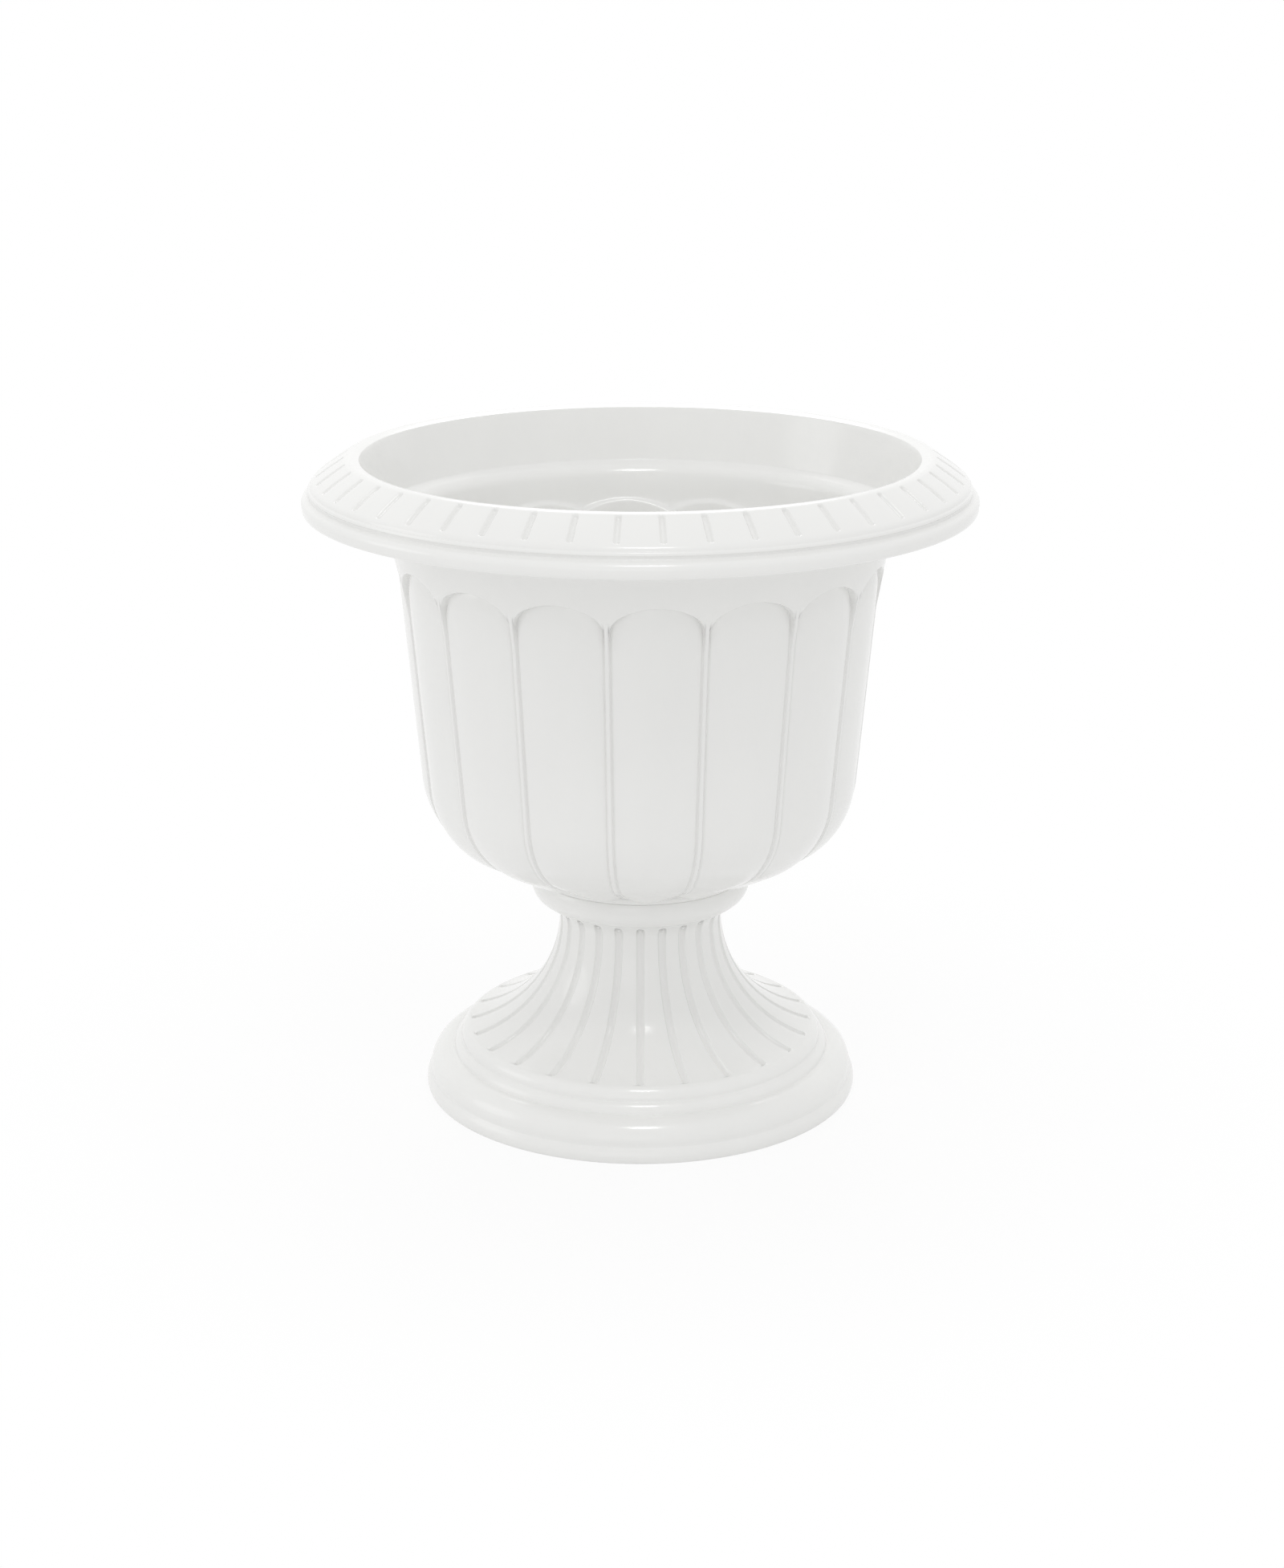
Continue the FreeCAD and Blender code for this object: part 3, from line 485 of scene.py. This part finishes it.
def ring_piece(name, sector, copies, first_angle, finish):
    """A plain mesh object of the sector repeated round the axis."""
    holder = bpy.data.objects.new(name, sector)
    bpy.context.scene.collection.objects.link(holder)
    modifier = holder.modifiers.new("ring", "NODES")
    modifier.node_group = sector_tree
    sockets = sector_tree.interface.items_tree
    for socket, given in (("Copies", copies), ("First angle", math.radians(first_angle)),
                          ("Weld distance", WELD), ("Finish", finish)):
        modifier[sockets[socket].identifier] = given
    mesh = bpy.data.meshes.new_from_object(holder.evaluated_get(bpy.context.evaluated_depsgraph_get()))
    holder.modifiers.remove(modifier)
    holder.data = mesh
    mesh.name = name
    mesh.polygons.foreach_set("use_smooth", np.ones(len(mesh.polygons), bool))
    return holder


class Field:
    """A value that varies over a surface. Sums on it add the nodes that work it out."""

    def __init__(self, tree, socket=None):
        self.tree = tree
        self.socket = socket

    def node(self, kind, settings=None, inputs=None, output=0):
        """Add a node: its settings come first, then the values or links of its sockets."""
        made = self.tree.nodes.new(kind)
        for name, setting in (settings or {}).items():
            setattr(made, name, setting)
        for name, given in (inputs or {}).items():
            if isinstance(given, Field):
                self.tree.links.new(given.socket, made.inputs[name])
            else:
                made.inputs[name].default_value = given
        return Field(self.tree, made.outputs[output] if made.outputs else None)

    def maths(self, operation, first, second):
        return self.node("ShaderNodeMath", {"operation": operation}, {0: first, 1: second})

    def __add__(self, other):
        return self.maths("ADD", self, other)

    def __radd__(self, other):
        return self.maths("ADD", other, self)

    def __sub__(self, other):
        return self.maths("SUBTRACT", self, other)

    def __rsub__(self, other):
        return self.maths("SUBTRACT", other, self)

    def __mul__(self, other):
        return self.maths("MULTIPLY", self, other)

    def __rmul__(self, other):
        return self.maths("MULTIPLY", other, self)


def moulded_plastic(name, colour, shade, roughness, scuff_height):
    """Smooth moulded plastic. Its tone drifts a little where the melt has cooled unevenly, the skin
    has a faint orange peel with fine specks, and it is duller near the edge that gets handled."""
    finish = bpy.data.materials.new(name)
    finish.use_nodes = True
    finish.node_tree.nodes.clear()
    skin = Field(finish.node_tree)
    place = skin.node("ShaderNodeTexCoord", output="Object")
    drift = skin.node("ShaderNodeTexNoise", None,
                      {"Vector": place, "Scale": 9.0, "Detail": 3.0, "Roughness": 0.55})
    flow = skin.node("ShaderNodeMapping", None, {"Vector": place, "Scale": (30.0, 30.0, 7.0)})
    streak = skin.node("ShaderNodeTexNoise", None,
                       {"Vector": flow, "Scale": 1.0, "Detail": 4.0, "Roughness": 0.6})
    peel = skin.node("ShaderNodeTexNoise", None,
                     {"Vector": place, "Scale": 420.0, "Detail": 2.0, "Roughness": 0.5})
    speck = skin.node("ShaderNodeTexNoise", None, {"Vector": place, "Scale": 1500.0, "Detail": 1.0})
    handled = skin.node("ShaderNodeTexNoise", None,
                        {"Vector": place, "Scale": 55.0, "Detail": 5.0, "Roughness": 0.7})
    height = skin.node("ShaderNodeSeparateXYZ", None, {"Vector": place}, output="Z")
    near = skin.node("ShaderNodeMapRange", {"interpolation_type": "SMOOTHSTEP"},
                     {"Value": height, "From Min": scuff_height[0], "From Max": scuff_height[1]})
    tone = 0.5 * drift + 0.5 * streak
    tone = skin.node("ShaderNodeMapRange", None, {"Value": tone, "From Min": 0.35, "From Max": 0.65})
    # Sockets 6 and 7 of a Mix node are its two colours, and its output 2 is their mixture.
    base = skin.node("ShaderNodeMix", {"data_type": "RGBA"},
                     {"Factor": tone, 6: (*shade, 1), 7: (*colour, 1)}, output=2)
    rough = roughness + 0.10 * (drift - 0.5) + 0.08 * near * handled + 0.05 * (speck - 0.5)
    bump = skin.node("ShaderNodeBump", None,
                     {"Height": peel + 0.35 * speck, "Strength": 0.08, "Distance": 0.0004})
    shader = skin.node("ShaderNodeBsdfPrincipled", None, {
        "Base Color": base,
        "Roughness": rough,
        "Normal": bump,
        "IOR": 1.49,
        "Specular IOR Level": 0.8,
        "Subsurface Weight": 0.0,
    })
    skin.node("ShaderNodeOutputMaterial", None, {"Surface": shader})
    return finish


OFF_WHITE = (0.90, 0.90, 0.885)
OFF_WHITE_SHADE = (0.88, 0.88, 0.865)
SKIN_ROUGHNESS = 0.15
bowl_finish = moulded_plastic("bowl_plastic", OFF_WHITE, OFF_WHITE_SHADE, SKIN_ROUGHNESS, (0.36, 0.40))
bowl = ring_piece("bowl_shell", knit("bowl_sector", bowl_rows), FLUTES, BOWL_TURN, bowl_finish)
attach(bowl, "bowl")
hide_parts("bowl")


# Lugs: four flat blocks moulded on the outside of the spigot. They pass down through the slots in
# the pedestal's top and turn in under it.
def plate(name, angles, radii, present, bottom, top, open_ends=False):
    """A flat plate of cells between the angles and the radii, with walls where a cell has no
    neighbour. Open ends leave out the walls at the first and the last angle."""
    corners, faces = {}, []

    def corner_at(level, turn, ring):
        return corners.setdefault((level, turn, ring), len(corners))

    def has(turn, ring):
        return 0 <= turn < len(angles) - 1 and 0 <= ring < len(radii) - 1 and present(turn, ring)

    for turn in range(len(angles) - 1):
        for ring in range(len(radii) - 1):
            if not has(turn, ring):
                continue
            around = ((turn, ring), (turn, ring + 1), (turn + 1, ring + 1), (turn + 1, ring))
            over = [corner_at(top, *place) for place in around]
            under = [corner_at(bottom, *place) for place in around]
            faces += [over, under[::-1]]
            sides = ((turn - 1, ring), (turn, ring + 1), (turn + 1, ring), (turn, ring - 1))
            for side, neighbour in enumerate(sides):
                past_end = neighbour[0] in (-1, len(angles) - 1)
                if has(*neighbour) or (open_ends and past_end):
                    continue
                follower = (side + 1) % 4
                faces.append((over[side], under[side], under[follower], over[follower]))
    turned = np.radians(angles)
    points = []
    for level, turn, ring in corners:
        radius = radii[ring] / 1000
        points.append((radius * math.cos(turned[turn]), radius * math.sin(turned[turn]), level / 1000))
    mesh = bpy.data.meshes.new(name)
    mesh.from_pydata(points, [], faces)
    return mesh


def ease_edges(piece, width):
    """The small radius that a mould leaves on a block's edges."""
    bevel = piece.modifiers.new("edges", "BEVEL")
    bevel.width = width
    bevel.segments = 2
    bevel.limit_method = "ANGLE"
    bevel.angle_limit = math.radians(40)


def everywhere(turn, ring):
    return True


LUG_HALF = 10.0
LUG_BOTTOM = SEAT - 7.9
LUG_TOP = SEAT - 3.9
EDGE_RADIUS = 0.0004
lug_angles = np.linspace(-LUG_HALF, LUG_HALF, 9)
lug = plate("lug", lug_angles, (43.5, 51.5), everywhere, LUG_BOTTOM, LUG_TOP)
lugs = ring_piece("bowl_lugs", lug, 4, BOWL_TURN, bowl_finish)
ease_edges(lugs, EDGE_RADIUS)
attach(lugs, "bowl")


# Pedestal: the second moulding, in the same plastic and open underneath. A cushion carries the seat,
# the reeded neck flares out in one sweep, and two rings, a shoulder and a bead make the foot.
GROOVES = 24
GROOVE_ROUND = 2.6
GROOVE_DEPTH = 2.0
NECK = 50.9
FLARE_TOP = 111.0
FLARE_END = (108.8, 38.5)
flare_run, flare_fall = FLARE_END[0] - NECK, FLARE_TOP - FLARE_END[1]
FLARE_ROUND = (flare_run ** 2 + flare_fall ** 2) / 2 / flare_run
FLARE_AXIS = NECK + FLARE_ROUND
flare_lean = math.asin(flare_fall / FLARE_ROUND)
inside_flare = (FLARE_AXIS - (FLARE_ROUND + WALL) * math.cos(flare_lean),
                FLARE_TOP - (FLARE_ROUND + WALL) * math.sin(flare_lean))
stand = soften(trace([
    (56.0, 139.0),
    (66.6, 139.0),
    (61.9, 122.6, 12),
    (NECK, FLARE_TOP, -12.5),
    FLARE_END + (-FLARE_ROUND,),
    (113.7, 30.6, 7.5),
    (118.6, 24.4, 7.5),
    (121.0, 24.4),
    (133.4, 12.5, 13),
    (133.4, 9.6),
    (135.7, 0.0, 9),
    (132.7, 0.0),
    (130.4, 12.5),
    (121.0, 21.4, -10),
    (115.6, 21.4),
    (111.9, 27.6),
    inside_flare,
    (NECK - WALL, FLARE_TOP, FLARE_ROUND + WALL),
    (58.9, 124.1, 11),
    (63.6, 135.5, -12),
    (56.0, 135.5),
]), 0.35)
stand_plain = np.linspace(-180 / GROOVES, 180 / GROOVES, 7)
reeded_start, reeded_end = nearest(stand, (61.0, 121.5)), nearest(stand, (108.2, 38.7))
reeded = stand[reeded_start:reeded_end + 1]
reeded_facing = normals(stand)[reeded_start:reeded_end + 1]

# A groove is what a ball takes away whose middle runs down beside the neck, a little outside it,
# and follows the flare almost to its lower end.
GROOVE_TOP = 117.0
GROOVE_END = 105.0
stand_off = GROOVE_ROUND - GROOVE_DEPTH
groove_lean = math.acos((FLARE_AXIS - GROOVE_END) / FLARE_ROUND)
groove_end = (FLARE_AXIS - (FLARE_ROUND - stand_off) * math.cos(groove_lean),
              FLARE_TOP - (FLARE_ROUND - stand_off) * math.sin(groove_lean))
groove_axis = trace([
    (NECK + stand_off, GROOVE_TOP),
    (NECK + stand_off, FLARE_TOP),
    groove_end + (-(FLARE_ROUND - stand_off),),
], 0.5)


def groove_depths(path, facing, angles):
    """How deep the groove is under each point of the neck, for each row and column, looked for down
    to 3.4 mm. Its rounded edges also take the surface between two grooves in, by 0.04 mm."""
    steps = np.linspace(0, 3.4, 35)
    radius = path[:, 0, None, None] - facing[:, 0, None, None] * steps
    height = path[:, 1, None, None] - facing[:, 1, None, None] * steps
    turned = np.radians(angles)[..., None]
    gap = np.full(angles.shape + (len(steps),), 1e9)
    for point in groove_axis:
        gap = np.minimum(gap, np.hypot(radius * np.cos(turned) - point[0], height - point[1]))
    gap = np.hypot(gap, radius * np.sin(turned))
    carved = gap < GROOVE_ROUND
    last = np.where(carved[..., 0], np.argmin(carved, -1), 0)
    earlier = np.maximum(last - 1, 0)
    before = np.take_along_axis(gap, earlier[..., None], -1)[..., 0]
    beyond = np.take_along_axis(gap, last[..., None], -1)[..., 0]
    share = np.where(last > 0, (GROOVE_ROUND - before) / np.maximum(beyond - before, 1e-9), 0)
    depth = np.where(last > 0, steps[earlier] + np.clip(share, 0, 1) * (steps[1] - steps[0]), 0)
    return np.maximum(soft_max(depth - 0.05, 0, 0.3) - 0.01, 0)


# The path's points are 0.1 mm apart. Its rows lie closer together near the two ends of the grooves.
picked = rows_along(reeded, 2.6, 6)
ends = [nearest(reeded, point) for point in ((51.6, 117.5), (104.0, 40.4))]
fine = [index for index in range(0, len(reeded), 6) if min(abs(index - end) for end in ends) < 36]
picked = np.unique(np.concatenate([picked, fine]))[:-1]
picked_path, picked_facing = reeded[picked], reeded_facing[picked]

# Columns from a groove's middle outwards: the first ones keep their distance from it, and the last
# three share what is left of the way to the middle of the land.
GROOVE_COLUMNS = np.array([0, 1.0, 1.7, 2.15, 2.42, 2.62, 2.9, 3.4])
radii = picked_path[:, 0]
rest = radii * math.sin(math.pi / GROOVES) - GROOVE_COLUMNS[-1]
land = np.stack([GROOVE_COLUMNS[-1] + rest * share for share in (0.3, 0.65, 1.0)], 1)
lateral = np.concatenate([np.repeat(GROOVE_COLUMNS[None], len(picked), 0), land], 1)
angles = np.degrees(np.arcsin(lateral / radii[:, None]))
depth = groove_depths(picked_path, picked_facing, angles)
surface = picked_path[:, None] - depth[..., None] * picked_facing[:, None]
reeded_rows = []
for angle, (radius, level) in zip(angles, np.moveaxis(surface, -1, 1)):
    reeded_rows.append((np.concatenate([-angle[::-1], angle[1:]]),
                        np.concatenate([radius[::-1], radius[1:]]),
                        np.concatenate([level[::-1], level[1:]])))
stand_rows = plain_rows(stand[:reeded_start + 1], stand_plain, 3, 7) + reeded_rows
stand_rows += plain_rows(stand[reeded_end:], stand_plain, 4, 7)
stand_finish = moulded_plastic("pedestal_plastic", OFF_WHITE, OFF_WHITE_SHADE, SKIN_ROUGHNESS, (0.03, 0.0))
pedestal = ring_piece("pedestal_shell", knit("pedestal_sector", stand_rows), GROOVES, 0.0, stand_finish)
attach(pedestal, "pedestal")
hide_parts("pedestal")


# Pedestal's top: the flat ring that the bowl sits on, moulded in one with the shell. Four slots in
# its inner edge let the bowl's lugs down.
SLOT_MIDDLE = 33.75
SLOT_HALF = 13.0
DECK_RADII = (45.5, 52.4, 56.0)
DECK_UNDERSIDE = 135.5
deck_angles = [angle for angle in np.linspace(-45, 45, 31) if abs(abs(angle) - SLOT_HALF) > 1.1]
deck_angles = sorted(deck_angles + [-SLOT_HALF, SLOT_HALF])


def beside_slot(turn, ring):
    middle = (deck_angles[turn] + deck_angles[turn + 1]) / 2
    return ring == 1 or abs(middle) > SLOT_HALF


deck = plate("deck", deck_angles, DECK_RADII, beside_slot, DECK_UNDERSIDE, SEAT, open_ends=True)
deck = ring_piece("pedestal_deck", deck, 4, SLOT_MIDDLE, stand_finish)
ease_edges(deck, EDGE_RADIUS)
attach(deck, "pedestal")


# Stops: two rings of four small blocks under the pedestal's top, moulded on it. One stands just past
# each end of a lug's way: where the bowl is locked, and where the lugs are over their slots.
STOP_BOTTOM = 127.5
STOP_TOP = 135.6
for name, middle in (("lock_stops", -9.25), ("entry_stops", 48.75)):
    stop = plate(name, np.linspace(-2, 2, 3), (46.0, 51.5), everywhere, STOP_BOTTOM, STOP_TOP)
    stops = ring_piece(f"pedestal_{name}", stop, 4, middle, stand_finish)
    ease_edges(stops, EDGE_RADIUS)
    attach(stops, "pedestal")


# Drain plug: a small moulding of softer plastic, pushed into the hole in the bowl's floor, with a
# round-topped tab to pull it by. It keeps the solid's own shape.
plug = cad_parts["drain_plug"]
plug_finish = moulded_plastic("plug_plastic", (0.74, 0.74, 0.72), (0.70, 0.70, 0.68), 0.5, (0.15, 0.16))
plug.data.materials.clear()
plug.data.materials.append(plug_finish)


# Studio: a white floor, a world that lights evenly, and four soft lamps: one over the front, one on
# the left, one low in front and one high behind.
def white_ground(name, shadow):
    """White to the camera, but for a share of the light that really falls on it near the foot. The
    share fades from the foot's edge to half a metre from the axis."""
    finish = bpy.data.materials.new(name)
    finish.use_nodes = True
    finish.node_tree.nodes.clear()
    ground = Field(finish.node_tree)
    seen = ground.node("ShaderNodeLightPath", output="Is Camera Ray")
    glossy = ground.node("ShaderNodeLightPath", output="Is Glossy Ray")
    passed = ground.node("ShaderNodeLightPath", output="Is Transmission Ray")
    diffuse = ground.node("ShaderNodeBsdfDiffuse", None, {"Color": (0.9, 0.9, 0.9, 1)})
    glow = ground.node("ShaderNodeEmission", None, {"Color": (1, 1, 1, 1), "Strength": 1.0})
    place = ground.node("ShaderNodeTexCoord", output="Object")
    away = ground.node("ShaderNodeVectorMath", {"operation": "LENGTH"}, {0: place}, output="Value")
    near = ground.node("ShaderNodeMapRange", {"interpolation_type": "SMOOTHSTEP"},
                       {"Value": away, "From Min": 0.14, "From Max": 0.5, "To Min": shadow, "To Max": 0.0})
    share = ground.maths("MAXIMUM", ground.maths("MAXIMUM", seen, glossy), passed) * (1 - near)
    mixed = ground.node("ShaderNodeMixShader", None, {0: share, 1: diffuse, 2: glow})
    ground.node("ShaderNodeOutputMaterial", None, {"Surface": mixed})
    return finish


floor_mesh = bpy.data.meshes.new("floor")
floor_mesh.from_pydata([(-6, -6, 0), (6, -6, 0), (6, 6, 0), (-6, 6, 0)], [], [(0, 1, 2, 3)])
floor_mesh.materials.append(white_ground("floor_white", 0.12))
floor = bpy.data.objects.new("floor", floor_mesh)
bpy.context.scene.collection.objects.link(floor)

# The world lights a little below white, and is white to the camera and in reflections.
world = bpy.data.worlds.new("studio")
world.use_nodes = True
world.node_tree.nodes.clear()
sky = Field(world.node_tree)
lit = sky.node("ShaderNodeBackground", None, {"Color": (1, 1, 1, 1), "Strength": 0.80})
shown = sky.node("ShaderNodeBackground", None, {"Color": (1, 1, 1, 1), "Strength": 1.0})
seen = sky.node("ShaderNodeLightPath", output="Is Camera Ray")
glossy = sky.node("ShaderNodeLightPath", output="Is Glossy Ray")
direct = sky.maths("MAXIMUM", seen, glossy)
mixed = sky.node("ShaderNodeMixShader", None, {0: direct, 1: lit, 2: shown})
sky.node("ShaderNodeOutputWorld", None, {"Surface": mixed})
bpy.context.scene.world = world


def soft_lamp(name, place, target, size, power):
    """A round lamp at its place, turned to shine at the target."""
    lamp = bpy.data.lights.new(name, "AREA")
    lamp.shape = "DISK"
    lamp.size = size
    lamp.energy = power
    holder = bpy.data.objects.new(name, lamp)
    holder.location = place
    way = np.array(target) - np.array(place)
    tilt = math.acos(-way[2] / np.linalg.norm(way))
    holder.rotation_euler = (tilt, 0, math.atan2(way[1], way[0]) - math.pi / 2)
    bpy.context.scene.collection.objects.link(holder)


soft_lamp("top", (0.05, -1.0, 2.2), (0, 0, 0.2), 0.5, 4.4)
soft_lamp("side", (-2.2, -0.2, 0.8), (0, 0, 0.2), 1.2, 2.4)
soft_lamp("front", (-0.3, -2.2, 0.3), (0, 0, 0.2), 1.6, 1.6)
soft_lamp("back", (0.0, 1.6, 1.9), (0, 0, 0.2), 1.2, 10)

# The camera stands where the photograph's ellipses put it, and looks down a little.
CAMERA_PITCH = 17.4395
camera = bpy.data.cameras.new("camera")
camera.lens = 63.66
camera.sensor_width = 36
camera.clip_end = 50
eye = bpy.data.objects.new("camera", camera)
eye.location = (0.001, -1.6443, 0.7115)
eye.rotation_euler = (math.radians(90 - CAMERA_PITCH), 0, 0)
bpy.context.scene.collection.objects.link(eye)
bpy.context.scene.camera = eye
bpy.context.scene.view_settings.view_transform = "Standard"
